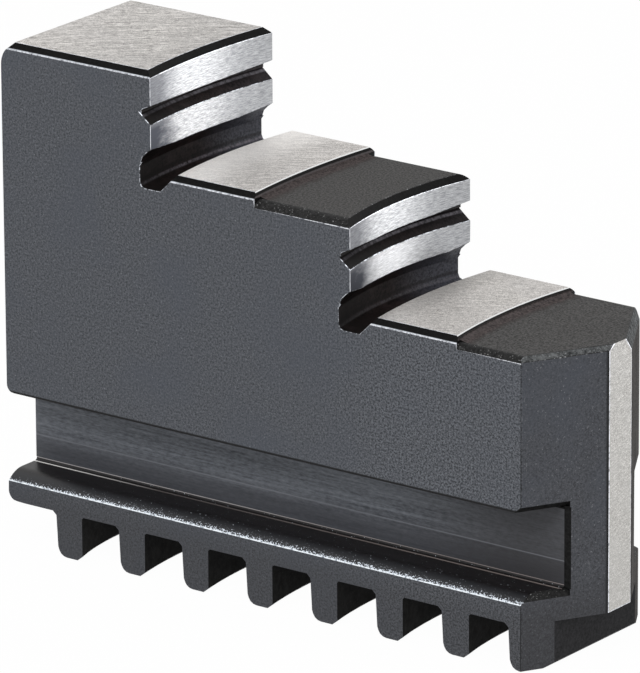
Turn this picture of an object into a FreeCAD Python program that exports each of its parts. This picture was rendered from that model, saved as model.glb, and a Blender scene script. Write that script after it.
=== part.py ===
import FreeCAD, Part
import math
import os

# One-piece stepped outside jaw for a three-jaw scroll chuck, standing on its scroll teeth.
# Millimetres.  +X points to the chuck centre, +Z up.
# Lengths along X are written from the rear face, heights from the tips of the teeth;
# the finished jaw is moved to the middle of its footprint at the very end.

# ---- overall block ----
width = 20.0                # across the jaw, between the two ground side faces
length_side = 63.6          # rear face to the corner where the nose starts
nose_angle = 120.0          # angle between the two nose faces
nose_flat = 3.7             # ground strip left at the tip of the nose
top_height = 53.0           # tooth tips to the upper ground face
rear_top_chamfer = 0.65     # 45 degree chamfer across the upper rear edge
rear_top_round = 2.4        # blends the chamfer into the rear face

# ---- steps ----
first_face_x = 18.8         # side edge of the upper gripping face
step_run = 24.4             # from one gripping face to the next
face_height = 10.2          # upper ground face down to the first tread
step_drop = 10.1            # from one tread to the next
grip_radius = (62.0, 40.0)  # hollow radius of the upper and the lower gripping face
tread_lip = 3.0             # gripping face to the start of the ground tread
lip_radius = 60.0
tread_run = 9.45            # length of the ground tread along the side
drop_radius = (81.0, 56.0)  # hollow edge where each ground tread ends
drop_depth = (0.75, 0.6)    # ground tread down to the black shelf beyond it
drop_bevel = 0.25
drop_foot = (1.0, 0.25)     # long shallow fillet at the foot of the drop: run, rise

# ---- profile of a gripping face, heights above its own tread ----
groove_top = (6.72, 6.52)   # upper step, lower step
groove_bottom = (4.75, 4.45)
groove_depth = 1.3
relief_top = 2.25
relief_floor = -1.88
relief_depth = 1.4
relief_round = 0.6
band_sag = 0.45             # the lower edge of each ground band sags this much in the middle
edge_bevel = 0.65           # black bevel round the ground faces
shelf_round = (1.3, 0.8)    # soft round along the side edges of the two shelves
shelf_round_in = (1.15, 0.77)

# ---- guide slots ----
slot_depth = 4.55
slot_bottom = 7.75
slot_top = 16.2
slot_fillet = 0.4
slot_lead = 0.65            # lead-in chamfer where a slot opens on the nose
slot_lead_end = (0.7, 0.1)    # the same on the end of the slot wall: along the wall, along the nose
flange_round = 2.9          # wide round along the top edge of the flange
flange_round_in = 2.1
body_rear_round = 0.9
flange_rear_round = 1.1

# ---- scroll teeth ----
pitch = 8.0
tooth_count = 8
first_flank_x = 6.3         # outer flank of the first tooth, at the side face
tooth_thickness = 3.1       # at the side face
tooth_height = 4.7
outer_flank_radius = 35.0   # bulged flank, away from the chuck centre
inner_flank_radius = 50.0   # hollow flank, towards the chuck centre
first_hollow_radius = 34.0  # the outermost tooth is hollowed more deeply
flank_draft = 3.0           # degrees, outer flank
tip_round = 1.0
tip_chamfer = 0.6
root_fillet = 0.4

# ---- nose bevels ----
nose_bevel_near = (0.4, 0.5)    # inwards, down
nose_bevel_far = (0.5, 1.35)

mid = width / 2.0
nose_run = (width - nose_flat) / 2.0 / math.tan(math.radians(nose_angle / 2.0))
length = length_side + nose_run
beyond = 5.0                # how far cutters reach past the block


def point(x, y, z):
    return FreeCAD.Vector(x, y, z)


def prism(points, direction):
    """Solid swept from a closed polygon along a vector."""
    wire = Part.makePolygon(points + [points[0]])
    return Part.Face(wire).extrude(direction)


def arc_edge(start, middle, end):
    return Part.Arc(start, middle, end).toShape()


def arc_middle(centre, radius, start_angle, end_angle):
    """Point half way round an arc, as a (horizontal, vertical) pair."""
    angle = math.radians((start_angle + end_angle) / 2.0)
    return centre[0] + radius * math.cos(angle), centre[1] + radius * math.sin(angle)


def swept_profile(start, steps, to_space, direction):
    """Sweep a closed outline of lines and arcs.

    Each step is an end pair for a line, or a (middle, end) couple of pairs for an arc.
    """
    edges = []
    here = start
    for step in steps:
        if isinstance(step[0], tuple):
            middle, end = step
            edges.append(arc_edge(to_space(*here), to_space(*middle), to_space(*end)))
        else:
            end = step
            edges.append(Part.makeLine(to_space(*here), to_space(*end)))
        here = end
    return Part.Face(Part.Wire(edges)).extrude(direction)


def in_xz(y):
    return lambda x, z: point(x, y, z)


def in_yz(x):
    return lambda y, z: point(x, y, z)


def mirrored(shape):
    """The same cutter on the other side face."""
    return shape.mirror(point(0, mid, 0), point(0, 1, 0))


def face_x(step):
    return first_face_x + step * step_run


def tread_z(step):
    return top_height - face_height - step * step_drop


def shelf_z(step):
    return tread_z(step) - drop_depth[step]


def tread_end_x(step):
    return face_x(step) + tread_lip + tread_run


def drop_x(step):
    """Side edge of the hollow wall that falls from a ground tread to its shelf."""
    return tread_end_x(step) + drop_bevel


def arc_centre_x(edge_x, radius):
    """Centre of a hollow arc that meets both side faces at edge_x."""
    return edge_x + math.sqrt(radius * radius - mid * mid)


def rear_top_blend():
    """Ends and middle of the arc that runs from the rear face into the upper rear chamfer."""
    r = rear_top_round
    rise = r * math.sin(math.radians(45))
    centre = (r, top_height - rear_top_chamfer - rise)
    end = (r - rise, centre[1] + rise)
    return (0, centre[1]), arc_middle(centre, r, 180, 135), end


def side_profile():
    """Stepped outline of the jaw above its teeth, swept across the width."""
    q = flange_rear_round
    low = tooth_height
    shelf = [shelf_z(0), shelf_z(1)]
    drop = [drop_x(step) + drop_foot[0] for step in (0, 1)]    # the drop cutters take the rest
    round_start, round_middle, round_end = rear_top_blend()
    low_arc = arc_middle((q, low + q), q, 180, 270)
    steps = [
        round_start,
        (round_middle, round_end),
        (round_end[0] + rear_top_chamfer, top_height),
        (face_x(0), top_height),
        (face_x(0), tread_z(0)),
        (drop[0], tread_z(0)),
        (drop[0], shelf[0]),
        (face_x(1), shelf[0]),
        (face_x(1), tread_z(1)),
        (drop[1], tread_z(1)),
        (drop[1], shelf[1]),
        (length, shelf[1]),
        (length, low),
        (q, low),
        (low_arc, (0, low + q)),
    ]
    return swept_profile((0, low + q), steps, in_xz(0), point(0, width, 0))


def nose_plan():
    """Plan outline with the pointed nose, as tall as the jaw."""
    points = [
        point(0, 0, 0),
        point(length_side, 0, 0),
        point(length, mid - nose_flat / 2.0, 0),
        point(length, mid + nose_flat / 2.0, 0),
        point(length_side, width, 0),
        point(0, width, 0),
    ]
    return prism(points, point(0, 0, top_height))


def turned(profile, centre_x):
    """Solid of revolution about a vertical axis; profile is (radius, height) pairs."""
    points = [point(centre_x + radius, mid, z) for radius, z in profile]
    wire = Part.makePolygon(points + [points[0]])
    axis = point(centre_x, mid, 0)
    return Part.Face(wire).revolve(axis, point(0, 0, 1), 360)


def grip_cutter(step):
    """Hollow gripping face with its groove, and the relief at the foot of the step."""
    radius = grip_radius[step]
    base = tread_z(step)
    top = top_height if step == 0 else shelf_z(0)
    floor = base + relief_floor
    wall = radius + relief_depth
    band_low = base + relief_top - band_sag
    groove_high = base + groove_top[step] - band_sag
    inner = radius - tread_lip - beyond
    profile = [
        (inner, floor),
        (wall - relief_round, floor),
        (wall - relief_round * 0.3, floor + relief_round * 0.3),
        (wall, floor + relief_round),
        (wall, band_low - 1.45),
        (wall - 0.35, band_low - 0.95),
        (wall - 0.85, band_low - 0.4),
        (radius, band_low),
        (radius, base + groove_bottom[step]),
        (radius + groove_depth, base + groove_bottom[step] + groove_depth * 0.85),
        (radius + groove_depth - 0.2, groove_high - 0.45),
        (radius, groove_high),
        (radius, top - edge_bevel),
        (radius + edge_bevel, top),
        (radius + edge_bevel, top + beyond),
        (inner, top + beyond),
    ]
    centre = arc_centre_x(face_x(step), radius)
    return turned(profile, centre).cut(tread_lip_keep(step))


def band_edge_cutters(step):
    """Straight cuts across the width that set the lower edges of the two ground bands."""
    x = face_x(step)
    groove = tread_z(step) + groove_top[step]
    relief = tread_z(step) + relief_top
    upper = [(0.5, 0.22), (-0.95, -0.42), (-1.15, -0.6), (-1.15, -1.0), (0.5, -1.0)]
    lower = [(0.5, 0.35), (0, 0), (-0.55, -0.4), (-1.1, -0.95), (-1.3, -1.5), (0.5, -1.6)]
    cutters = []
    for height, outline in ((groove, upper), (relief, lower)):
        points = [point(x + dx, 0, height + dz) for dx, dz in outline]
        cutters.append(prism(points, point(0, width, 0)))
    return cutters


def tread_lip_keep(step):
    """The 45 degree slope from the relief floor up to the hollow rear edge of the tread."""
    edge_x = face_x(step) + tread_lip
    depth = -relief_floor
    centre = point(arc_centre_x(edge_x, lip_radius), mid, tread_z(step) - depth)
    return Part.makeCone(lip_radius + depth, lip_radius, depth, centre)


def drop_cutter(step):
    """Hollow front edge of a ground tread, with a fillet down to the black shelf."""
    radius = drop_radius[step]
    shelf = shelf_z(step)
    run, rise = drop_foot
    profile = [
        (radius - 4.0, shelf),
        (radius - run, shelf),
        (radius - run * 0.65, shelf + rise * 0.12),
        (radius - run * 0.3, shelf + rise * 0.45),
        (radius, shelf + rise),
        (radius, tread_z(step) - drop_bevel),
        (radius + drop_bevel + 1, tread_z(step) + 1),
        (radius - 4.0, tread_z(step) + 1),
    ]
    return turned(profile, arc_centre_x(drop_x(step), radius))


def edge_bevels(start_x, end_x, top):
    """Black bevel along both side edges of a ground face."""
    reach = edge_bevel
    points = [
        point(start_x, -1, top - reach - 1),
        point(start_x, reach + 1, top + 1),
        point(start_x, -1, top + 1),
    ]
    near = prism(points, point(end_x - start_x, 0, 0))
    return [near, mirrored(near)]


def soft_round(start_x, end_x, step):
    """Soft round along both side edges of a shelf: an arc that runs out tangent to it."""
    top = shelf_z(step)
    radius = shelf_round[step]
    inset = shelf_round_in[step]
    drop = radius - math.sqrt(radius * radius - inset * inset)
    half = math.asin(inset / radius) / 2.0
    middle = (inset - radius * math.sin(half), top - radius + radius * math.cos(half))
    steps = [
        (0, top - drop),
        (middle, (inset, top)),
        (inset, top + 1),
        (-1, top + 1),
        (-1, top - drop),
    ]
    near = swept_profile((-1, top - drop), steps, in_yz(start_x), point(end_x - start_x, 0, 0))
    return [near, mirrored(near)]


def guide_slot():
    """Slot along one side face; its lower side is the rounded top of the flange."""
    f = slot_fillet
    radius = flange_round
    inset = flange_round_in
    drop = radius - math.sqrt(radius * radius - inset * inset)
    half = math.asin(inset / radius) / 2.0
    lip = (inset - radius * math.sin(half), slot_bottom - radius + radius * math.cos(half))
    low = arc_middle((slot_depth - f, slot_bottom + f), f, 270, 360)
    high = arc_middle((slot_depth - f, slot_top - f), f, 0, 90)
    steps = [
        (0, slot_bottom - drop),
        (lip, (inset, slot_bottom)),
        (slot_depth - f, slot_bottom),
        (low, (slot_depth, slot_bottom + f)),
        (slot_depth, slot_top - f),
        (high, (slot_depth - f, slot_top)),
        (-1, slot_top),
        (-1, slot_bottom - drop),
    ]
    start = (-1, slot_bottom - drop)
    return swept_profile(start, steps, in_yz(-1), point(length + 2, 0, 0))


def across_nose(profile, end_y):
    """Sweep a (inwards, height) polygon along the near nose face, from the side to end_y."""
    slope = 1.0 / math.tan(math.radians(nose_angle / 2.0))
    normal = point(-math.sin(math.radians(nose_angle / 2.0)), math.cos(math.radians(nose_angle / 2.0)), 0)
    start = point(length_side - slope * 2, -2, 0)
    points = [start + normal * inwards + point(0, 0, z) for inwards, z in profile]
    return prism(points, point(slope * (end_y + 2), end_y + 2, 0))


def slot_leads():
    """Lead-in chamfers above and below a slot where it opens on the nose face."""
    lead = slot_lead
    upper = [(-1, slot_top), (lead, slot_top), (0, slot_top + lead), (-1, slot_top + lead)]
    lower = [(-1, slot_bottom), (lead, slot_bottom), (0, slot_bottom - lead), (-1, slot_bottom - lead)]
    return [across_nose(upper, slot_depth), across_nose(lower, slot_depth)]


def slot_end_lead():
    """Upright chamfer where a slot wall meets the nose face."""
    along_wall, along_nose = slot_lead_end
    slope = 1.0 / math.tan(math.radians(nose_angle / 2.0))
    corner = point(length_side + slot_depth * slope, slot_depth, slot_bottom)
    face = point(slope, 1.0, 0).normalize()
    points = [
        corner - point(along_wall, 0, 0),
        corner + face * along_nose,
        corner + point(1, 0, 0),
        corner - point(along_wall, 1, 0),
    ]
    return prism(points, point(0, 0, slot_top - slot_bottom))


def nose_bevel(size, end_y):
    """Bevel between the lowest shelf and a nose face."""
    inwards, down = size
    top = shelf_z(1)
    points = [(-1, top - down), (0, top - down), (inwards, top), (inwards, top + 1), (-1, top + 1)]
    return across_nose(points, end_y)


def body_rear_corner():
    """Rounded lower rear corner of the body where it overhangs a slot."""
    r = body_rear_round
    curve = arc_middle((r, slot_top + r), r, 180, 270)
    steps = [
        (-1, slot_top + r),
        (0, slot_top + r),
        (curve, (r, slot_top)),
        (r, slot_top - 1),
        (-1, slot_top - 1),
    ]
    return swept_profile((-1, slot_top - 1), steps, in_xz(0), point(0, slot_depth, 0))


def outer_flank(radius, height):
    """Disc whose rim is the bulged flank of a tooth: rounded tip, draft, root fillet."""
    draft = math.tan(math.radians(flank_draft))
    r = tip_round
    profile = [
        (0, 0),
        (radius - r - draft * r, 0),
        (radius - r * 0.62 - draft * r, r * 0.08),
        (radius - r * 0.29 - draft * r, r * 0.29),
        (radius - r * 0.08 - draft * r, r * 0.62),
        (radius, r),
        (radius + draft * (height - r - root_fillet), height - root_fillet),
        (radius + draft * (height - r) + root_fillet, height),
        (0, height),
    ]
    return profile


def hollow_flank(radius, height):
    """Disc whose rim is the hollow flank of a tooth: tip chamfer below, fillet at the root."""
    c = tip_chamfer
    return [
        (0, -1),
        (radius + c, -1),
        (radius + c, 0),
        (radius, c * 0.8),
        (radius, height - root_fillet / 2.0),
        (radius - root_fillet / 2.0, height),
        (0, height),
    ]


def scroll_tooth(index):
    """One curved tooth, a crescent bulging away from the chuck centre."""
    outer_x = first_flank_x + index * pitch
    inner_x = outer_x + tooth_thickness
    bulge = arc_centre_x(outer_x, outer_flank_radius)
    tooth = turned(outer_flank(outer_flank_radius, tooth_height), bulge)
    if index == tooth_count - 1:
        return tooth.cut(nose_flank_cutter(inner_x))
    radius = first_hollow_radius if index == 0 else inner_flank_radius
    hollow = turned(hollow_flank(radius, tooth_height), arc_centre_x(inner_x, radius))
    reach = Part.makeBox(pitch, width, tooth_height, point(outer_x - pitch / 2.0, 0, 0))
    return tooth.cut(hollow).common(reach)


def nose_flank_cutter(x):
    """The last tooth ends in a flat flank across the nose, with the same tip chamfer."""
    c = tip_chamfer
    points = [
        point(x - c, -1, -1),
        point(x - c, -1, 0),
        point(x, -1, c * 0.8),
        point(x, -1, tooth_height),
        point(x + 100, -1, tooth_height),
        point(x + 100, -1, -1),
    ]
    return prism(points, point(0, width + 2, 0))


def build_jaw():
    body = side_profile().common(nose_plan())
    cutters = [grip_cutter(0), grip_cutter(1), drop_cutter(0), drop_cutter(1)]
    cutters += edge_bevels(-1, face_x(0) + 1, top_height)
    cutters += edge_bevels(face_x(0) + 0.4, tread_end_x(0) + 1, tread_z(0))
    cutters += edge_bevels(face_x(1) + 0.4, tread_end_x(1) + 1, tread_z(1))
    cutters += soft_round(drop_x(0), face_x(1) + 1, 0)
    cutters += soft_round(drop_x(1), length + 1, 1)
    cutters += band_edge_cutters(0) + band_edge_cutters(1)
    slot = guide_slot()
    corner = body_rear_corner()
    cutters += [slot, mirrored(slot), corner, mirrored(corner)]
    for lead in slot_leads() + [slot_end_lead()]:
        cutters += [lead, mirrored(lead)]
    cutters += [nose_bevel(nose_bevel_near, mid), mirrored(nose_bevel(nose_bevel_far, mid))]
    for cutter in cutters:
        body = body.cut(cutter)
    teeth = [scroll_tooth(index) for index in range(tooth_count)]
    plan = nose_plan()
    for tooth in teeth:
        body = body.fuse(tooth.common(plan))
    jaw = body.removeSplitter()
    jaw.translate(point(-length / 2.0, -mid, 0))
    return jaw


os.makedirs("parts", exist_ok=True)
jaw = build_jaw()
if jaw.ShapeType == "Compound" and len(jaw.Solids) == 1:
    jaw = jaw.Solids[0]
print("valid", jaw.isValid(), "solids", len(jaw.Solids), "volume", round(jaw.Volume, 1))
print("box", jaw.BoundBox)
jaw.exportStep("parts/jaw.step")
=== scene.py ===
import math

import bmesh
import bpy
from mathutils import Matrix, Vector


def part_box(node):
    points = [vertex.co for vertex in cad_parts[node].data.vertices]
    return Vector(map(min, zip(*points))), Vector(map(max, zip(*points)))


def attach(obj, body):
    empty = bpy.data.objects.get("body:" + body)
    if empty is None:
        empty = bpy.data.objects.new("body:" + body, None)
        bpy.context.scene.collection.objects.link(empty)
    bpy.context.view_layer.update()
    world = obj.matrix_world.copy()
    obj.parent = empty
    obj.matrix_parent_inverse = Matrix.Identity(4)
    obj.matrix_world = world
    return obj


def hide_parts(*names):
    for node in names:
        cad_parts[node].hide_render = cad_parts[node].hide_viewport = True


# One-piece stepped chuck jaw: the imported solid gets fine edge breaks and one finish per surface.
# Metres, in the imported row's frame: +X to the chuck centre, +Y across, +Z up, tooth tips on Z = 0.

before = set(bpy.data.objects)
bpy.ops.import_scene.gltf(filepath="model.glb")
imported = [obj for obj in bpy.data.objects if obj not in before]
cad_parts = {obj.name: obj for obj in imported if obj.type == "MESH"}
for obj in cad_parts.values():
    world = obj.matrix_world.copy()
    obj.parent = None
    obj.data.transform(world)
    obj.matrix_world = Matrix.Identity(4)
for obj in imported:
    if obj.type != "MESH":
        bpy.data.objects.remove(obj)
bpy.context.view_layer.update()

MM = 0.001
LOW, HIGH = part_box("jaw")
REAR = LOW.x                      # the tall rear end
NOSE = HIGH.x                     # the ground strip at the tip
SIDE = HIGH.y                     # the far side face; the near one is at -SIDE
TOP = HIGH.z

# ---- places on the jaw, measured from the rear face and from the tooth tips ----
# Each list has the upper step first and the lower step second.
FACE_X = [REAR + 18.8 * MM, REAR + 43.2 * MM]       # side edges of the two gripping faces
GRIP_RADIUS = [62.0 * MM, 40.0 * MM]
TREAD_Z = [42.8 * MM, 32.7 * MM]                    # ground resting faces
SHELF_Z = [42.05 * MM, 32.1 * MM]                   # black shelves beyond them
RELIEF_X = [face + 3.0 * MM for face in FACE_X]     # where each ground tread starts
RELIEF_RADIUS = 60.0 * MM
GROOVE_TOP = [6.72 * MM, 6.52 * MM]                 # above the tread
GROOVE_BOTTOM = [4.75 * MM, 4.45 * MM]
GROOVE_HIGHLIGHT = [bottom + 0.8 * MM for bottom in GROOVE_BOTTOM]       # painted highlight line along each groove
DROP_X = [REAR + 31.5 * MM, REAR + 55.9 * MM]       # walls that fall from the ground treads
DROP_RADIUS = [81.0 * MM, 56.0 * MM]
UPPER_STEP = TREAD_Z[0] - 3.0 * MM                  # divides the two steps' treads and hollows
SLOT_WALL = SIDE - 4.55 * MM                        # bottom of the guide slot in each side
SLOT_BOTTOM = 7.75 * MM
SLOT_TOP = 16.2 * MM
TOOTH_ROOT = 4.7 * MM
NOSE_ANGLE = math.radians(60)                       # turn from a side face to the nose face beside it
NOSE_NORMAL = Vector((math.sin(NOSE_ANGLE), -math.cos(NOSE_ANGLE), 0))
WHEEL_CENTRE = (52.0 * MM, -85.0 * MM)              # plan centre of the grinding marks on the flats


def arc_centre(edge_x, radius):
    """Centre of a hollow arc that meets both side faces at edge_x."""
    return edge_x + math.sqrt(radius * radius - SIDE * SIDE)


# ---------------------------------------------------------------- node helpers

# sockets of the Mix node when it mixes colours
COLOUR_A, COLOUR_B, COLOUR_OUT = 6, 7, 2


class Shader:
    """Builds a node material step by step; values in its arithmetic are sockets or plain numbers."""

    def __init__(self, name):
        self.material = bpy.data.materials.new(name)
        self.material.use_nodes = True
        self.tree = self.material.node_tree
        self.tree.nodes.clear()
        output = self.node("ShaderNodeOutputMaterial")
        self.bsdf = self.node("ShaderNodeBsdfPrincipled")
        self.link(self.bsdf.outputs[0], output.inputs[0])
        self.position = self.node("ShaderNodeTexCoord").outputs["Object"]
        parts = self.node("ShaderNodeSeparateXYZ")
        self.link(self.position, parts.inputs[0])
        self.x, self.y, self.z = parts.outputs

    def node(self, kind, **settings):
        made = self.tree.nodes.new(kind)
        for key, value in settings.items():
            setattr(made, key, value)
        return made

    def link(self, source, target):
        self.tree.links.new(source, target)

    def put(self, value, socket):
        """Link a socket, or set a plain value."""
        if isinstance(value, bpy.types.NodeSocket):
            self.link(value, socket)
        else:
            socket.default_value = value

    def math(self, operation, a, b=0.0):
        made = self.node("ShaderNodeMath", operation=operation)
        self.put(a, made.inputs[0])
        self.put(b, made.inputs[1])
        return made.outputs[0]

    def plus(self, a, b):
        return self.math("ADD", a, b)

    def minus(self, a, b):
        return self.math("SUBTRACT", a, b)

    def times(self, a, b):
        return self.math("MULTIPLY", a, b)

    def above(self, a, b):
        return self.math("GREATER_THAN", a, b)

    def below(self, a, b):
        return self.math("LESS_THAN", a, b)

    def absolute(self, a):
        return self.math("ABSOLUTE", a)

    def mean(self, a, b):
        return self.times(self.plus(a, b), 0.5)

    def join(self, x, y, z):
        made = self.node("ShaderNodeCombineXYZ")
        for value, socket in zip((x, y, z), made.inputs):
            self.put(value, socket)
        return made.outputs[0]

    def noise(self, scale, detail, rough, at=None):
        made = self.node("ShaderNodeTexNoise")
        self.link(self.position if at is None else at, made.inputs["Vector"])
        made.inputs["Scale"].default_value = scale
        made.inputs["Detail"].default_value = detail
        made.inputs["Roughness"].default_value = rough
        return made.outputs[0]

    def span(self, value, low, high, to_low=0.0, to_high=1.0, smooth=False):
        """Map low..high to to_low..to_high, held at both ends."""
        made = self.node("ShaderNodeMapRange")
        if smooth:
            made.interpolation_type = "SMOOTHSTEP"
        for item, socket in zip((value, low, high, to_low, to_high), made.inputs):
            self.put(item, socket)
        return made.outputs[0]

    def between(self, share, a, b):
        """The value a where share is 0 and b where it is 1."""
        return self.span(share, 0.0, 1.0, a, b)

    def line(self, value, place, core, edge, strength=1.0):
        """A thin line where value passes place: full within core of it, gone by edge."""
        return self.span(self.absolute(self.minus(value, place)), core, edge, strength, 0.0)

    def reach(self, centre_x, centre_y=0.0):
        """Distance in plan from an upright axis."""
        dx = self.minus(self.x, centre_x)
        dy = self.minus(self.y, centre_y)
        return self.math("SQRT", self.plus(self.times(dx, dx), self.times(dy, dy)))

    def blend(self, share, a, b):
        """Mix two colours."""
        made = self.node("ShaderNodeMix", data_type="RGBA")
        self.put(share, made.inputs["Factor"])
        self.put(a, made.inputs[COLOUR_A])
        self.put(b, made.inputs[COLOUR_B])
        return made.outputs[COLOUR_OUT]

    def bump(self, height, depth, strength):
        made = self.node("ShaderNodeBump")
        made.inputs["Strength"].default_value = strength
        made.inputs["Distance"].default_value = depth
        self.link(height, made.inputs["Height"])
        self.link(made.outputs[0], self.bsdf.inputs["Normal"])

    def finish(self, colour, roughness, metallic=0.0, specular=0.5):
        self.link(colour, self.bsdf.inputs["Base Color"])
        self.put(roughness, self.bsdf.inputs["Roughness"])
        self.bsdf.inputs["Metallic"].default_value = metallic
        self.bsdf.inputs["Specular IOR Level"].default_value = specular
        return self.material


def srgb(*levels):
    """Linear colour with full alpha, from three 0-255 display levels."""
    linear = []
    for level in levels:
        v = level / 255.0
        linear.append(v / 12.92 if v <= 0.04045 else ((v + 0.055) / 1.055) ** 2.4)
    return (*linear, 1.0)


# ---------------------------------------------------------------- finishes

def ground_flat():
    """Top and treads: pale surface-ground steel with long, slightly curved wheel marks."""
    s = Shader("ground_flat")
    on_top = s.above(s.z, TOP - 1.0 * MM)
    on_upper = s.times(s.above(s.z, UPPER_STEP), s.below(s.z, TREAD_Z[0] + 1.0 * MM))
    on_lower = s.below(s.z, UPPER_STEP)
    # wheel marks: long lines with shorter dashes among them
    reach = s.reach(*WHEEL_CENTRE)
    turn = s.math("ARCTAN2", s.minus(s.y, WHEEL_CENTRE[1]), s.minus(s.x, WHEEL_CENTRE[0]))
    lines = s.noise(5200.0, detail=2.0, rough=0.6, at=s.join(reach, s.times(turn, 0.006), s.z))
    dashes = s.noise(7000.0, detail=2.0, rough=0.6, at=s.join(reach, s.times(turn, 0.02), s.z))
    grit = s.noise(9500.0, detail=2.0, rough=0.6)
    tone = s.between(s.between(on_top, 0.52, 0.4), s.mean(lines, dashes), grit)
    dark = s.blend(on_top, srgb(132, 128, 124), srgb(110, 106, 102))
    pale = s.blend(on_top, srgb(234, 230, 226), srgb(246, 242, 238))
    colour = s.blend(s.span(tone, 0.4, 0.6), dark, pale)
    patch = s.noise(110.0, detail=2.0, rough=0.5)
    colour = s.blend(s.span(patch, 0.35, 0.7, 0.0, 0.22), colour, srgb(186, 183, 184))
    nick = s.times(s.span(dashes, 0.31, 0.37, 1.0, 0.0), s.between(on_top, 0.25, 0.75))
    colour = s.blend(nick, colour, srgb(86, 82, 78))
    # the top darkens towards the gripping face
    shade = s.times(s.span(s.x, REAR + 2.0 * MM, REAR + 19.0 * MM, 0.0, 0.22), on_top)
    colour = s.blend(shade, colour, srgb(130, 130, 130))
    # painted reflection: the upper tread is painted brighter beside its relief, the lower one painted
    # darker; the treads lie at negative distances from their relief arcs
    from_relief = []
    for edge_x in RELIEF_X:
        from_relief.append(s.minus(s.reach(arc_centre(edge_x, RELIEF_RADIUS)), RELIEF_RADIUS))
    painted_highlight = s.span(from_relief[0], -7.0 * MM, -1.0 * MM, 0.0, 0.6, smooth=True)
    colour = s.blend(s.times(painted_highlight, on_upper), colour, srgb(252, 249, 246))
    painted_darkening = s.span(from_relief[1], -4.0 * MM, 0.0, 0.0, 0.45, smooth=True)
    colour = s.blend(s.times(painted_darkening, on_lower), colour, srgb(132, 129, 126))
    s.bump(tone, depth=0.004 * MM, strength=0.5)
    return s.finish(colour, s.span(lines, 0.3, 0.7, 0.46, 0.56), metallic=0.6)


def ground_band():
    """Hollow gripping bands: ground along the arc, with a painted reflection: bright in the middle and
    darker at both ends.
    """
    s = Shader("ground_band")
    streaks = s.noise(10000.0, detail=2.0, rough=0.7, at=s.join(0.0, s.times(s.y, 0.1), s.z))
    grain = s.noise(9000.0, detail=2.0, rough=0.8)
    colour = s.blend(s.span(streaks, 0.36, 0.64), srgb(152, 153, 156), srgb(220, 221, 223))
    colour = s.blend(s.span(grain, 0.38, 0.62, 0.3, 0.0), colour, srgb(110, 111, 114))
    # painted reflection: the far end of each band is painted greyer
    far = s.span(s.y, 0.0, 6.0 * MM, 0.0, 0.32, smooth=True)
    colour = s.blend(far, colour, srgb(120, 122, 126))
    # painted reflection: bands are painted darker and mottled at the near end, each step's lower band more
    # than the one above its groove, the lowest band painted brighter in the middle
    on_upper = s.above(s.z, SHELF_Z[0] + 0.5 * MM)
    upper_step = s.times(s.span(s.z, TREAD_Z[0] + 4.2 * MM, TREAD_Z[0] + 4.8 * MM, 1.0, 0.0), on_upper)
    lower_step = s.span(s.z, TREAD_Z[1] + 3.9 * MM, TREAD_Z[1] + 4.6 * MM, 1.0, 0.0)
    low_band = s.math("MAXIMUM", upper_step, lower_step)
    painted_highlight = s.times(lower_step, s.span(s.y, 0.0, 4.5 * MM, 0.3, 0.0, smooth=True))
    colour = s.blend(painted_highlight, colour, srgb(236, 237, 240))
    cloud = s.noise(900.0, detail=3.0, rough=0.65, at=s.join(s.x, s.times(s.y, 0.5), s.z))
    mottle = s.times(s.minus(cloud, 0.5), s.between(low_band, 0.35, 0.75))
    end = s.span(s.y, -SIDE, -2.4 * MM, 0.8, 0.0, smooth=True)
    painted_darkening = s.span(s.plus(end, mottle), 0.12, 0.68)
    colour = s.blend(s.times(painted_darkening, s.between(low_band, 0.7, 1.0)), colour, srgb(70, 73, 82))
    speck = s.noise(6000.0, detail=2.0, rough=0.6)
    colour = s.blend(s.span(speck, 0.26, 0.30, 0.5, 0.0), colour, srgb(90, 90, 92))
    s.bump(streaks, depth=0.003 * MM, strength=0.28)
    # the grinding lines run round the arc and stretch the highlight across them
    s.bsdf.inputs["Anisotropic"].default_value = 0.7
    s.bsdf.inputs["Anisotropic Rotation"].default_value = 0.25
    tangent = s.node("ShaderNodeTangent", direction_type="RADIAL", axis="Z")
    s.link(tangent.outputs[0], s.bsdf.inputs["Tangent"])
    return s.finish(colour, roughness=0.34, metallic=1.0)


def ground_strip():
    """Narrow ground land down the nose, with fine slanting marks."""
    s = Shader("ground_strip")
    # two directions in the strip, turned so that the marks slant across it
    along = s.plus(s.times(s.z, 0.97), s.times(s.y, -0.24))
    across = s.plus(s.times(s.z, 0.12), s.times(s.y, 0.45))
    grain = s.noise(12000.0, detail=0.0, rough=0.5, at=s.join(s.x, across, along))
    marks = s.noise(7000.0, detail=2.0, rough=0.6, at=s.join(s.x, s.times(across, 0.3), along))
    cloud = s.noise(260.0, detail=2.0, rough=0.5)
    colour = s.blend(s.span(grain, 0.3, 0.7), srgb(160, 158, 155), srgb(220, 218, 215))
    colour = s.blend(s.span(marks, 0.4, 0.62, 0.42, 0.0), colour, srgb(126, 124, 120))
    colour = s.blend(s.span(cloud, 0.4, 0.65, 0.0, 0.3), colour, srgb(192, 191, 189))
    colour = s.blend(s.span(s.z, 0.0, 32.0 * MM, 0.35, 0.0), colour, srgb(172, 170, 166))
    s.bump(grain, depth=0.003 * MM, strength=0.3)
    return s.finish(colour, roughness=0.42, metallic=0.9)


def edge_wear_and_highlight(name, dark, pale, share, scale=1900.0):
    """Edge breaks: partly rubbed back towards bare steel, partly a painted highlight line; share is how
    much of the length stays dark.
    """
    s = Shader(name)
    wear_and_highlight = s.noise(scale, detail=3.0, rough=0.7)
    colour = s.blend(s.span(wear_and_highlight, share, share + 0.16), srgb(*dark), srgb(*pale))
    return s.finish(colour, roughness=0.45, metallic=0.6)


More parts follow.
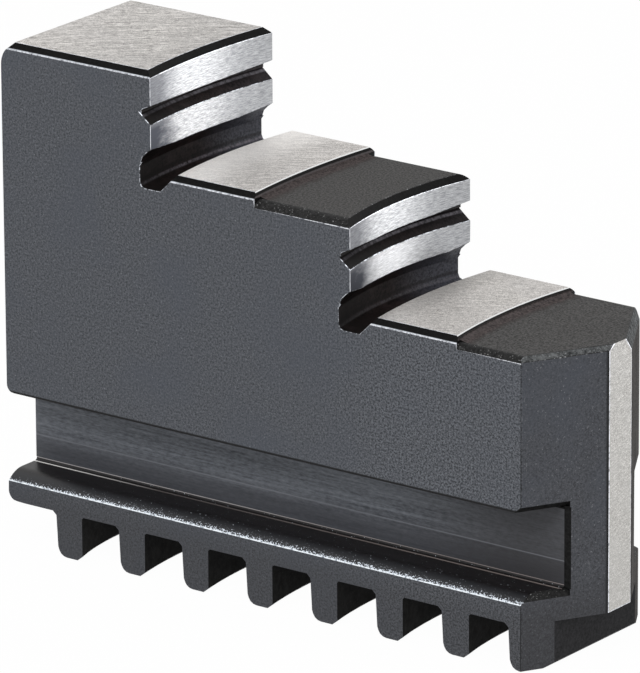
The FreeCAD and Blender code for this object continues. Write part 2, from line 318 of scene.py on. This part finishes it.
def oxide(name, level, grain, scale=3600.0, roughness=0.55, specular=0.2, tint=None, specks=None):
    """Black-oxide steel: a dark level that varies by grain, with a cloudy tint and bare specks if given.

    Specks are the noise level they start at, their strength and their colour.
    """
    s = Shader(name)
    fine = s.noise(scale, detail=3.0, rough=0.75)
    dark = srgb(*[max(v - grain, 2) for v in level])
    pale = srgb(*[v + grain for v in level])
    colour = s.blend(s.span(fine, 0.3, 0.7), dark, pale)
    if tint:
        cloud = s.noise(140.0, detail=3.0, rough=0.5)
        colour = s.blend(s.span(cloud, 0.45, 0.7, 0.0, 0.6), colour, srgb(*tint))
    if specks:
        start, strength, bare = specks
        dots = s.noise(5200.0, detail=2.0, rough=0.6)
        colour = s.blend(s.span(dots, start, start + 0.05, 0.0, strength), colour, srgb(*bare))
    s.bump(fine, depth=0.004 * MM, strength=0.3)
    return s.finish(colour, s.span(fine, 0.3, 0.7, roughness + 0.07, roughness - 0.07), specular=specular)


def bevel_with_painted_highlight():
    """Narrow black bevels round the top and treads, with a painted highlight line along the side faces."""
    s = Shader("oxide_bevel")
    fine = s.noise(3600.0, detail=3.0, rough=0.75)
    colour = s.blend(s.span(fine, 0.3, 0.7), srgb(4, 4, 4), srgb(22, 22, 22))
    wear_and_highlight = s.span(s.noise(2600.0, detail=3.0, rough=0.7), 0.36, 0.56, 0.5, 1.0)
    # painted highlight: a pale line along the bevel's lower edge beside the side faces
    edge = s.span(s.absolute(s.y), SIDE - 0.13 * MM, SIDE - 0.09 * MM)
    colour = s.blend(s.times(edge, wear_and_highlight), colour, srgb(206, 210, 218))
    return s.finish(colour, roughness=0.5, specular=0.06)


def ground_oxide(name, dark, pale):
    """Side and nose faces: ground first, then blackened; blue-grey with a few bare specks."""
    s = Shader(name)
    fine = s.noise(4600.0, detail=3.0, rough=0.85)
    cloud = s.noise(120.0, detail=3.0, rough=0.5)
    colour = s.blend(s.span(fine, 0.34, 0.66), srgb(*dark), srgb(*pale))
    colour = s.blend(s.span(cloud, 0.45, 0.7, 0.0, 0.5), colour, srgb(70, 74, 82))
    # the grain of the side faces stands out more towards the nose
    on_side = s.above(s.absolute(s.y), SIDE - 0.1 * MM)
    crisp = s.times(s.span(s.x, 2.0 * MM, 18.0 * MM, 0.0, 0.6, smooth=True), on_side)
    strong = s.blend(s.span(fine, 0.42, 0.58), srgb(28, 30, 34), srgb(108, 111, 117))
    colour = s.blend(crisp, colour, strong)
    speck = s.above(s.noise(4800.0, detail=2.0, rough=0.6), 0.675)
    colour = s.blend(s.times(speck, 0.4), colour, srgb(150, 152, 156))
    # flange and teeth are a little darker
    colour = s.blend(s.span(s.z, 5.0 * MM, 9.0 * MM, 0.45, 0.0), colour, srgb(46, 45, 46))
    # painted shadow: a black line along the lower edge of the body, where it overhangs the slot
    edge = s.span(s.z, SLOT_TOP + 0.2 * MM, SLOT_TOP + 0.3 * MM, 1.0, 0.0)
    edge = s.times(edge, s.above(s.z, SLOT_TOP - 0.2 * MM))
    edge = s.times(edge, s.above(s.absolute(s.y), SLOT_WALL))
    colour = s.blend(edge, colour, srgb(12, 12, 13))
    # thin dark line beside the ground land on the nose
    rim = s.times(s.span(s.x, NOSE - 0.22 * MM, NOSE - 0.1 * MM), s.above(s.z, 4.0 * MM))
    colour = s.blend(rim, colour, srgb(16, 16, 18))
    s.bump(fine, depth=0.004 * MM, strength=0.3)
    return s.finish(colour, s.span(fine, 0.3, 0.7, 0.62, 0.5), specular=0.22)


def streaked_oxide():
    """Far nose face: matt, rubbed in fine upright streaks, darkest beside the ground land."""
    s = Shader("oxide_streaked")
    streaks = s.noise(4600.0, detail=3.0, rough=0.7, at=s.join(0.0, s.times(s.y, 0.55), s.times(s.z, 0.02)))
    fine = s.noise(4600.0, detail=3.0, rough=0.85)
    tone = s.mean(streaks, fine)
    colour = s.blend(s.span(tone, 0.38, 0.62), srgb(46, 45, 45), srgb(104, 102, 101))
    colour = s.blend(s.span(s.x, NOSE - 0.4 * MM, NOSE - 0.3 * MM, 0.0, 0.85), colour, srgb(24, 23, 23))
    s.bump(streaks, depth=0.004 * MM, strength=0.3)
    return s.finish(colour, roughness=0.85, specular=0.0)


def slot_wall():
    """Guide slot wall: blackened over long milling lines, paler above than below."""
    s = Shader("slot_wall")
    lines = s.noise(2600.0, detail=3.0, rough=0.65, at=s.join(s.times(s.x, 0.02), s.y, s.z))
    fine = s.noise(4200.0, detail=3.0, rough=0.7, at=s.join(s.times(s.x, 0.3), s.y, s.z))
    colour = s.blend(s.span(s.mean(lines, fine), 0.34, 0.66), srgb(54, 57, 63), srgb(116, 120, 127))
    foot = s.span(s.z, 9.2 * MM, 11.6 * MM, 0.75, 0.0, smooth=True)
    colour = s.blend(foot, colour, srgb(54, 55, 60))
    front = s.span(s.x, 8.0 * MM, 28.0 * MM, 0.0, 0.75, smooth=True)
    colour = s.blend(front, colour, srgb(50, 49, 51))
    scratch = s.line(s.z, 10.5 * MM, 0.03 * MM, 0.09 * MM, 0.55)
    colour = s.blend(scratch, colour, srgb(120, 122, 128))
    s.bump(lines, depth=0.006 * MM, strength=0.3)
    return s.finish(colour, roughness=0.5, specular=0.25)


def flange_top():
    """Glossy black upper side of the flange, with a painted sparkling highlight along its rounded front
    edge.
    """
    s = Shader("flange_top")
    across = s.absolute(s.y)
    fine = s.noise(3000.0, detail=2.0, rough=0.6)
    colour = s.blend(s.span(fine, 0.3, 0.7), srgb(10, 9, 10), srgb(26, 23, 24))
    # painted sheen: greyer towards the rounded front edge
    grey = s.span(across, SIDE - 1.5 * MM, SIDE - 0.7 * MM, 0.0, 0.8, smooth=True)
    colour = s.blend(grey, colour, srgb(46, 47, 50))
    # painted highlight: flecks, faint ones first, then bright ones crowding towards the edge, fewer at the
    # rear
    highlight_flecks = s.noise(6600.0, detail=1.0, rough=0.5)
    fewer = s.span(s.x, REAR + 1.0 * MM, REAR + 12.0 * MM, 0.08, 0.0)
    faint = s.plus(s.span(across, SIDE - 0.75 * MM, SIDE - 0.15 * MM, 0.7, 0.5), fewer)
    faint = s.span(s.minus(highlight_flecks, faint), 0.0, 0.05, 0.0, 0.5)
    colour = s.blend(faint, colour, srgb(128, 132, 138))
    bright = s.plus(s.span(across, SIDE - 0.45 * MM, SIDE - 0.04 * MM, 0.74, 0.43), fewer)
    bright = s.span(s.minus(highlight_flecks, bright), 0.0, 0.05, 0.0, 0.9)
    colour = s.blend(bright, colour, srgb(226, 234, 244))
    # painted highlights: two thin pale lines along the fillet at the foot of the slot wall
    rear = s.span(s.x, REAR + 4.0 * MM, REAR + 16.0 * MM, 1.0, 0.0)
    front = s.span(s.x, REAR + 25.0 * MM, REAR + 50.0 * MM)
    low_tone = s.blend(front, srgb(104, 98, 96), srgb(138, 128, 124))
    low_tone = s.blend(rear, low_tone, srgb(252, 250, 248))
    high_tone = s.blend(front, srgb(164, 160, 160), srgb(126, 118, 116))
    low_highlight = s.line(across, SLOT_WALL + 0.42 * MM, 0.07 * MM, 0.12 * MM, 0.95)
    high_highlight = s.line(s.z, SLOT_BOTTOM + 0.34 * MM, 0.049 * MM, 0.084 * MM, 0.95)
    colour = s.blend(low_highlight, colour, low_tone)
    colour = s.blend(high_highlight, colour, high_tone)
    dots = s.noise(5200.0, detail=3.0, rough=0.75)
    s.bump(dots, depth=0.006 * MM, strength=0.4)
    return s.finish(colour, roughness=0.35, specular=0.3)


def hollow_oxide():
    """Grooves and reliefs: brown-black in front, turning grey towards the far side."""
    s = Shader("oxide_hollow")
    fine = s.noise(3800.0, detail=3.0, rough=0.75)
    cloud = s.noise(800.0, detail=3.0, rough=0.7)
    colour = s.blend(s.span(fine, 0.36, 0.64), srgb(1, 1, 1), srgb(42, 33, 32))
    colour = s.blend(s.span(cloud, 0.5, 0.66, 0.0, 0.7), colour, srgb(52, 43, 43))
    upper = s.above(s.z, UPPER_STEP)
    height = s.minus(s.z, s.between(upper, TREAD_Z[1], TREAD_Z[0]))
    in_groove = s.above(height, 4.0 * MM)
    far = s.times(s.span(s.y, -0.5 * MM, 8.0 * MM, smooth=True), s.between(in_groove, 0.95, 0.15))
    grey = s.blend(s.span(fine, 0.36, 0.64), srgb(46, 46, 52), srgb(88, 90, 99))
    colour = s.blend(s.times(far, 0.85), colour, grey)
    deep = s.times(in_groove, s.between(upper, 0.55, 0.2))
    colour = s.blend(deep, colour, srgb(6, 4, 4))
    # painted highlight lines: along the back of each groove, and where a relief wall meets its floor
    wear_and_highlight = s.noise(2400.0, detail=3.0, rough=0.7, at=s.join(s.times(s.x, 0.5), s.y, s.z))
    back = s.line(height, s.between(upper, GROOVE_HIGHLIGHT[1], GROOVE_HIGHLIGHT[0]), 0.06 * MM, 0.15 * MM)
    back = s.times(back, s.span(wear_and_highlight, 0.4, 0.6, 0.25, 0.8))
    colour = s.blend(back, colour, srgb(138, 135, 142))
    foot = s.times(s.line(height, -1.55 * MM, 0.06 * MM, 0.18 * MM), s.span(wear_and_highlight, 0.35, 0.6))
    foot = s.times(foot, s.between(upper, 0.25, 0.85))
    colour = s.blend(foot, colour, srgb(116, 110, 118))
    shade = s.line(height, -1.1 * MM, 0.1 * MM, 0.25 * MM, 0.6)
    colour = s.blend(shade, colour, srgb(16, 12, 13))
    near = s.span(s.y, -8.0 * MM, -2.0 * MM, 0.7, 0.0)
    colour = s.blend(near, colour, srgb(2, 2, 2))
    s.bump(fine, depth=0.006 * MM, strength=0.4)
    return s.finish(colour, roughness=0.5, specular=0.1)


def black_shelf():
    """Shelves beyond the ground treads: matt black-oxide, browner beside the drop."""
    s = Shader("oxide_shelf")
    fine = s.noise(4400.0, detail=3.0, rough=0.8)
    colour = s.blend(s.span(fine, 0.34, 0.66), srgb(28, 27, 27), srgb(94, 93, 92))
    beyond = []
    for edge_x, radius in zip(DROP_X, DROP_RADIUS):
        beyond.append(s.minus(radius, s.reach(arc_centre(edge_x, radius))))
    gap = s.between(s.above(s.z, UPPER_STEP), beyond[1], beyond[0])
    mottle = s.noise(900.0, detail=3.0, rough=0.6)
    gap = s.plus(gap, s.span(mottle, 0.3, 0.7, -0.35 * MM, 0.35 * MM))
    brown = s.span(gap, 1.1 * MM, 1.9 * MM, 0.55, 0.0, smooth=True)
    colour = s.blend(brown, colour, srgb(50, 43, 42))
    s.bump(fine, depth=0.004 * MM, strength=0.3)
    return s.finish(colour, roughness=0.7, specular=0.1)


def drop_wall():
    """Short wall below a ground tread: painted white highlight along the rim, black just under it, brownish
    foot.
    """
    s = Shader("oxide_drop")
    fine = s.noise(3400.0, detail=3.0, rough=0.8)
    colour = s.blend(s.span(fine, 0.36, 0.64), srgb(28, 23, 23), srgb(80, 72, 71))
    upper = s.above(s.z, UPPER_STEP)
    below = s.minus(s.between(upper, TREAD_Z[1], TREAD_Z[0]), s.z)
    ledge = s.times(s.line(below, 0.44 * MM, 0.05 * MM, 0.1 * MM, 0.6), s.between(upper, 0.15, 1.0))
    colour = s.blend(ledge, colour, srgb(104, 100, 102))
    black = s.span(below, s.between(upper, 0.16 * MM, 0.28 * MM), 0.36 * MM, 1.0, 0.0)
    colour = s.blend(black, colour, srgb(5, 5, 5))
    # painted highlight: white along the rim just under the tread
    colour = s.blend(s.span(below, 0.08 * MM, 0.1 * MM, 1.0, 0.0), colour, srgb(236, 236, 236))
    s.bump(fine, depth=0.006 * MM, strength=0.4)
    return s.finish(colour, roughness=0.6, specular=0.1)


FINISHES = {
    "flat": ground_flat(),
    "band": ground_band(),
    "strip": ground_strip(),
    # the pale edge finishes below paint highlight lines along the edge breaks, partly bare-steel wear
    "bright": edge_wear_and_highlight("edge_bright", (150, 152, 158), (238, 240, 246), share=0.36),
    "worn": edge_wear_and_highlight("edge_worn_highlight", (58, 60, 64), (214, 218, 226), share=0.44),
    "rubbed": edge_wear_and_highlight("edge_rubbed_highlight", (112, 114, 120), (226, 228, 234), share=0.40, scale=2600.0),
    "spark": edge_wear_and_highlight("edge_spark", (26, 26, 27), (176, 177, 179), share=0.54, scale=4200.0),
    "glint": edge_wear_and_highlight("edge_glint", (120, 130, 144), (240, 246, 252), share=0.34, scale=2600.0),
    "dark": oxide("edge_dark", (18, 18, 19), grain=6),
    "side": ground_oxide("oxide_side", (34, 36, 40), (98, 101, 107)),
    "nose": ground_oxide("oxide_nose", (46, 47, 51), (84, 86, 91)),
    "streaked": streaked_oxide(),
    "shelf": black_shelf(),
    "bevel": bevel_with_painted_highlight(),
    "lead": oxide("oxide_lead", (16, 16, 16), grain=14, scale=2600.0, roughness=0.5, specular=0.08),
    "round": oxide(
        "oxide_round", (24, 24, 24), grain=18, scale=3200.0, roughness=0.5, specular=0.12,
        specks=(0.64, 0.7, (150, 150, 150))),
    "chip": oxide(
        "oxide_chip", (58, 60, 61), grain=52, scale=1700.0, roughness=0.75, specular=0.06,
        specks=(0.62, 0.6, (150, 152, 156))),
    "drop": drop_wall(),
    "hollow": hollow_oxide(),
    "neck": slot_wall(),
    "flange": flange_top(),
    "gap": oxide(
        "oxide_gap", (7, 7, 6), grain=5, scale=1200.0, roughness=0.6, specular=0.03,
        tint=(20, 19, 17), specks=(0.66, 0.5, (52, 50, 44))),
    "under": oxide("oxide_under", (27, 27, 29), grain=12, roughness=0.6, specular=0.08),
}
ORDER = list(FINISHES)            # a finish's place here is its material index on the skin
# Finishes whose faces are plane, so they are shaded flat.
PLANE = {
    "flat", "strip", "bright", "worn", "rubbed", "spark", "glint", "dark", "side", "nose",
    "streaked", "shelf", "neck"}

# Edge breaks between two finishes: the finish they show, and their width. Their pale finishes are painted
# highlight lines, partly bare-steel wear.
EDGE_BREAKS = [
    (("side", "bevel"), "rubbed", 0.06 * MM),
    (("side", "round"), "rubbed", 0.13 * MM),
    (("side", "hollow"), "worn", 0.08 * MM),
    (("side", "flange"), "glint", 0.12 * MM),
    (("nose", "strip"), "bright", 0.12 * MM),
    (("streaked", "strip"), "bright", 0.08 * MM),
    (("nose", "chip"), "spark", 0.12 * MM),
    (("streaked", "chip"), "dark", 0.12 * MM),
    (("strip", "chip"), "bright", 0.12 * MM),
    (("strip", "under"), "bright", 0.12 * MM),
    (("side", "nose"), "dark", 0.09 * MM),
    (("side", "streaked"), "dark", 0.09 * MM),
    # painted shadow: a dark line along the body's lower edge over the slot
    (("side", "lead"), "dark", 0.1 * MM),
    (("shelf", "bevel"), "spark", 0.1 * MM),
    (("shelf", "chip"), "dark", 0.08 * MM),
    (("side", "band"), "bright", 0.06 * MM),
    (("flat", "bevel"), "bright", 0.05 * MM),
    (("band", "bevel"), "bright", 0.06 * MM),
    (("band", "hollow"), "worn", 0.06 * MM),
]


# ---------------------------------------------------------------- the skin

SQUARE_ON = 0.999                 # a face whose normal has this much along an axis is square to it
UPRIGHT = 0.02                    # most that the normal of an upright face has along Z
CLOSE = 0.02 * MM                 # how near to a level counts as on it
MERGE_WITHIN = 0.001 * MM         # corners this near to each other are one
SAME_PLANE = math.radians(0.4)    # facets that differ by less are joined
BREAK_FROM = math.radians(16)     # edges that turn less get no break
SMOOTH_BELOW = math.radians(24)   # edges that turn less are shaded smooth


def on_level(z, levels):
    """Whether a height lies on one of the given level faces."""
    return min(abs(z - level) for level in levels) < CLOSE


def on_grip(x, y, z, normal):
    """Whether a face belongs to one of the two hollow gripping faces."""
    if abs(normal.z) > UPRIGHT or normal.x < 0.5:
        return False
    for step in (0, 1):
        reach = math.hypot(x - arc_centre(FACE_X[step], GRIP_RADIUS[step]), y)
        if abs(reach - GRIP_RADIUS[step]) < 0.06 * MM and z > TREAD_Z[step] + 1.0 * MM:
            return True
    return False


def guide_finish(x, y, z, normal):
    """Finish of a face between the tooth roots and the body: the slots, the flange and their ends."""
    if abs(normal.y) > 0.99 and abs(y) < SLOT_WALL + CLOSE and z > SLOT_BOTTOM:
        if x < NOSE - 6.0 * MM or abs(normal.x) < 0.01:
            return "neck"
    if normal.x < -0.3 and x < REAR + 1.5 * MM:
        return "side"
    if x > NOSE - 9.0 * MM and normal.x > 0.1:
        return "round" if normal.z > 0.2 else "lead"
    if normal.z > 0.0 and z < SLOT_BOTTOM + 0.5 * MM:
        return "flange"
    return "lead"


def tooth_finish(x, normal):
    """Finish of a face among the teeth: plain at both ends of the row, darker in the gaps."""
    at_nose = x > NOSE - 7.0 * MM and (normal.x > 0.5 or normal.z < -0.9)
    at_rear = x < REAR + 7.0 * MM and normal.x < -0.1
    return "under" if at_nose or at_rear else "gap"


def step_finish(x, z, normal):
    """Finish of a face in a hollow, on a drop or along a shelf's rounded edge; None elsewhere."""
    for step in (0, 1):
        if FACE_X[step] - 3.0 * MM < x < FACE_X[step] + 3.1 * MM:
            if TREAD_Z[step] - 2.5 * MM < z < TREAD_Z[step] + GROOVE_TOP[step] + 0.1 * MM:
                return "hollow"
        if DROP_X[step] - 2.0 * MM < x < DROP_X[step] + 2.0 * MM and normal.x > -0.1:
            if SHELF_Z[step] - 0.01 * MM < z < TREAD_Z[step] and abs(normal.y) < 0.6:
                return "drop"
        if SHELF_Z[step] - 1.4 * MM < z < SHELF_Z[step] and normal.x < 0.3:
            return "round"
    return None


def finish_of(centre, normal):
    """Which finish a face of the solid carries, from where it is and which way it faces."""
    x, y, z = centre
    if normal.z > SQUARE_ON and on_level(z, [*TREAD_Z, TOP]):
        return "flat"
    if normal.z > SQUARE_ON and on_level(z, SHELF_Z):
        return "shelf"
    if normal.z > 0.86 and z > TOP - 0.5 * MM and x < REAR + 2.0 * MM:
        return "flat"
    if on_grip(x, y, z, normal):
        return "band"
    if normal.x > SQUARE_ON and x > NOSE - 0.01 * MM:
        return "strip"
    if abs(normal.y) > SQUARE_ON and abs(y) > SIDE - 0.01 * MM:
        return "side"
    if Vector((normal.x, -abs(normal.y), normal.z)).dot(NOSE_NORMAL) > SQUARE_ON:
        return "nose" if y < 0.0 else "streaked"
    if TOOTH_ROOT < z < SLOT_TOP + 1.0 * MM:
        return guide_finish(x, y, z, normal)
    if z <= TOOTH_ROOT:
        return tooth_finish(x, normal)
    if normal.x < -0.3 and x < REAR + 2.0 * MM:
        return "side"
    on_step = step_finish(x, z, normal)
    if on_step:
        return on_step
    if x > NOSE - 7.5 * MM and SHELF_Z[1] - 1.5 * MM < z < SHELF_Z[1]:
        return "chip"
    return "bevel"


def break_edges(bm):
    """Small facets along chosen edges, in pale finishes that paint highlight lines over partly bare-steel
    wear, or in dark ones.
    """
    for pair, finish, width in EDGE_BREAKS:
        indices = {ORDER.index(name) for name in pair}
        chosen = []
        for edge in bm.edges:
            if len(edge.link_faces) != 2 or edge.calc_face_angle(0.0) < BREAK_FROM:
                continue
            if {face.material_index for face in edge.link_faces} == indices:
                chosen.append(edge)
        if chosen:
            bmesh.ops.bevel(
                bm, geom=chosen, offset=width, offset_type="WIDTH", segments=1, profile=0.5,
                affect="EDGES", clamp_overlap=False, material=ORDER.index(finish))
            bm.normal_update()


def shape_skin():
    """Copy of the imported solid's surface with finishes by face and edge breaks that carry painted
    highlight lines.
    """
    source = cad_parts["jaw"]
    mesh = bpy.data.meshes.new("jaw_skin")
    bm = bmesh.new()
    bm.from_mesh(source.data)
    bmesh.ops.remove_doubles(bm, verts=bm.verts, dist=MERGE_WITHIN)
    bmesh.ops.dissolve_limit(
        bm, angle_limit=SAME_PLANE, verts=bm.verts, edges=bm.edges,
        use_dissolve_boundaries=False, delimit=set())
    bm.normal_update()
    for face in bm.faces:
        face.material_index = ORDER.index(finish_of(face.calc_center_median(), face.normal))
    break_edges(bm)
    plane = {ORDER.index(name) for name in PLANE}
    for face in bm.faces:
        face.smooth = face.material_index not in plane
    for edge in bm.edges:
        if len(edge.link_faces) == 2:
            edge.smooth = edge.calc_face_angle(0.0) < SMOOTH_BELOW
    # the breaks can leave a corner a hair past the side faces
    for vert in bm.verts:
        vert.co.y = min(max(vert.co.y, -SIDE), SIDE)
    bm.to_mesh(mesh)
    bm.free()
    piece = bpy.data.objects.new("jaw_skin", mesh)
    bpy.context.scene.collection.objects.link(piece)
    for name in ORDER:
        mesh.materials.append(FINISHES[name])
    return piece


skin = shape_skin()
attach(skin, "root")
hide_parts("jaw")


# ---------------------------------------------------------------- floor, light, camera

WHITE = (1.0, 1.0, 1.0, 1.0)
FLOOR_TONE = (0.85, 0.85, 0.85, 1.0)
FLOOR_HALF = 3.0                  # metres
FLOOR_DROP = 0.02 * MM            # below the tooth tips, so that the two never share a plane
FLOOR_GLOW = 0.98                 # share of the floor's own white where it is seen
DIM_WORLD = 0.55                  # strength of the world where it only lights the jaw

# Area lamps: name, place, target, width and height in metres, then watts.
LAMPS = [
    ("key", (0.1, -0.5, 0.55), (0.0, 0.0, 0.02), (0.5, 0.4), 3.0),
    ("rim", (0.35, 0.49, 0.06), (0.0, 0.0, 0.04), (0.17, 0.3), 1.75),
]

AZIMUTH = math.radians(36.84)     # round from the near side face towards the nose
ELEVATION = math.radians(18.208)
ROLL = math.radians(-0.354)
AIM = Vector((REAR + 32.0 * MM, -SIDE + 9.0 * MM, 25.0 * MM))
DISTANCE = 830.083 * MM           # from the aim, back along the view
SHIFT_RIGHT = 0.595 * MM
SHIFT_UP = 0.79 * MM
SENSOR_HEIGHT = 36.0              # millimetres, as is the lens
LENS = 447.677
CLIP_NEAR = 0.05
CLIP_FAR = 20.0


def where_seen(tree):
    """1 for camera, reflection and transmission rays, 0 for the rays that only carry light."""
    path = tree.nodes.new("ShaderNodeLightPath")
    seen = path.outputs["Is Camera Ray"]
    for kind in ("Is Glossy Ray", "Is Transmission Ray"):
        either = tree.nodes.new("ShaderNodeMath")
        either.operation = "MAXIMUM"
        tree.links.new(seen, either.inputs[0])
        tree.links.new(path.outputs[kind], either.inputs[1])
        seen = either.outputs[0]
    return seen


def floor_material():
    """White where it is seen or reflected; a plain pale surface for everything else."""
    material = bpy.data.materials.new("floor")
    material.use_nodes = True
    tree = material.node_tree
    tree.nodes.clear()
    share = tree.nodes.new("ShaderNodeMath")
    share.operation = "MULTIPLY"
    share.inputs[1].default_value = FLOOR_GLOW
    tree.links.new(where_seen(tree), share.inputs[0])
    diffuse = tree.nodes.new("ShaderNodeBsdfDiffuse")
    diffuse.inputs["Color"].default_value = FLOOR_TONE
    glow = tree.nodes.new("ShaderNodeEmission")
    glow.inputs["Color"].default_value = WHITE
    glow.inputs["Strength"].default_value = 1.0
    mix = tree.nodes.new("ShaderNodeMixShader")
    tree.links.new(share.outputs[0], mix.inputs[0])
    tree.links.new(diffuse.outputs[0], mix.inputs[1])
    tree.links.new(glow.outputs[0], mix.inputs[2])
    out = tree.nodes.new("ShaderNodeOutputMaterial")
    tree.links.new(mix.outputs[0], out.inputs[0])
    return material


def add_floor():
    mesh = bpy.data.meshes.new("floor")
    half = FLOOR_HALF
    corners = [(-half, -half), (half, -half), (half, half), (-half, half)]
    mesh.from_pydata([(x, y, -FLOOR_DROP) for x, y in corners], [], [(0, 1, 2, 3)])
    floor = bpy.data.objects.new("floor", mesh)
    bpy.context.scene.collection.objects.link(floor)
    mesh.materials.append(floor_material())


def add_world():
    """White where it is seen or reflected, dimmer as a light."""
    world = bpy.data.worlds.new("studio")
    bpy.context.scene.world = world
    world.use_nodes = True
    tree = world.node_tree
    tree.nodes.clear()
    level = tree.nodes.new("ShaderNodeMapRange")
    level.inputs["To Min"].default_value = DIM_WORLD
    level.inputs["To Max"].default_value = 1.0
    tree.links.new(where_seen(tree), level.inputs[0])
    background = tree.nodes.new("ShaderNodeBackground")
    background.inputs["Color"].default_value = WHITE
    tree.links.new(level.outputs[0], background.inputs["Strength"])
    out = tree.nodes.new("ShaderNodeOutputWorld")
    tree.links.new(background.outputs[0], out.inputs[0])


def add_lamp(name, place, target, size, power):
    light = bpy.data.lights.new(name, "AREA")
    light.shape = "RECTANGLE"
    light.size, light.size_y = size
    light.energy = power
    lamp = bpy.data.objects.new(name, light)
    lamp.location = place
    lamp.rotation_euler = (Vector(target) - Vector(place)).to_track_quat("-Z", "Y").to_euler()
    bpy.context.scene.collection.objects.link(lamp)


def add_camera():
    """Long lens, a little above and to the right of the near side face."""
    back = Vector((
        math.sin(AZIMUTH) * math.cos(ELEVATION),
        -math.cos(AZIMUTH) * math.cos(ELEVATION),
        math.sin(ELEVATION)))
    level_right = Vector((math.cos(AZIMUTH), math.sin(AZIMUTH), 0))
    level_up = back.cross(level_right)
    right = math.cos(ROLL) * level_right + math.sin(ROLL) * level_up
    up = math.cos(ROLL) * level_up - math.sin(ROLL) * level_right
    place = AIM + back * DISTANCE + right * SHIFT_RIGHT + up * SHIFT_UP
    data = bpy.data.cameras.new("camera")
    data.sensor_fit = "VERTICAL"
    data.sensor_height = SENSOR_HEIGHT
    data.lens = LENS
    data.clip_start = CLIP_NEAR
    data.clip_end = CLIP_FAR
    camera = bpy.data.objects.new("camera", data)
    turn = Matrix((right, up, back)).transposed()
    camera.matrix_world = Matrix.Translation(place) @ turn.to_4x4()
    bpy.context.scene.collection.objects.link(camera)
    bpy.context.scene.camera = camera


add_floor()
add_world()
for lamp_row in LAMPS:
    add_lamp(*lamp_row)
add_camera()
bpy.context.scene.view_settings.view_transform = "Standard"
